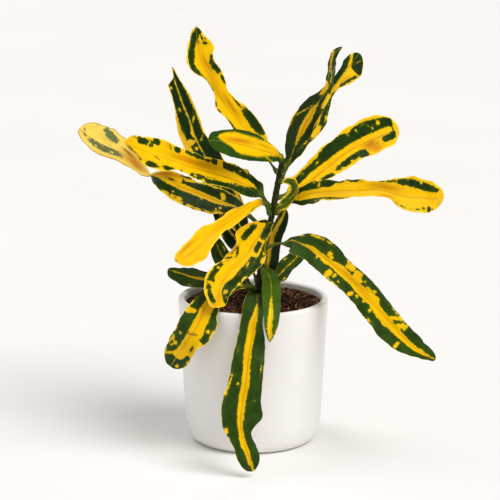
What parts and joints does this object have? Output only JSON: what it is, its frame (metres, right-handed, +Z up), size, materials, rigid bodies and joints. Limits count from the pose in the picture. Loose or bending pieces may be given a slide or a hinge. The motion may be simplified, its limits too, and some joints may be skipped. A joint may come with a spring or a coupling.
{
  "type": "potted croton",
  "caption": "Croton house plant with long, waved, yellow and green leaves on one short leaning stem, in a round matte white ceramic pot.",
  "frame": {"origin": "centre of the pot's flat underside", "axes": "+Z up along the pot's axis; -Y towards the front, where the long hanging leaf falls over the rim; +X to the right seen from the front"},
  "size_m": [0.3254, 0.2125, 0.3702],
  "materials": {
    "ceramic": "matte",
    "soil": "matte",
    "stem": "satin",
    "leaf": "satin"
  },
  "bodies": {
    "root": {"pot": "ceramic", "soil": "soil", "stem": "stem", "leaf_crown_tall": "leaf", "leaf_crown_short": "leaf", "leaf_left_upright": "leaf", "leaf_left_upper": "leaf", "leaf_left_long": "leaf", "leaf_right_front_tip": "leaf", "leaf_right_back_spoon": "leaf", "leaf_right_upper": "leaf", "leaf_right_long": "leaf", "leaf_curl": "leaf", "leaf_yellow_left": "leaf", "leaf_inner_upright": "leaf", "leaf_front_small": "leaf", "leaf_right_low": "leaf", "leaf_front_wavy": "leaf", "leaf_right_behind": "leaf", "leaf_front_long": "leaf", "leaf_left_front": "leaf", "leaf_left_low": "leaf", "leaf_back_left_low": "leaf", "leaf_back_left_inner": "leaf"}
  },
  "joints": []
}
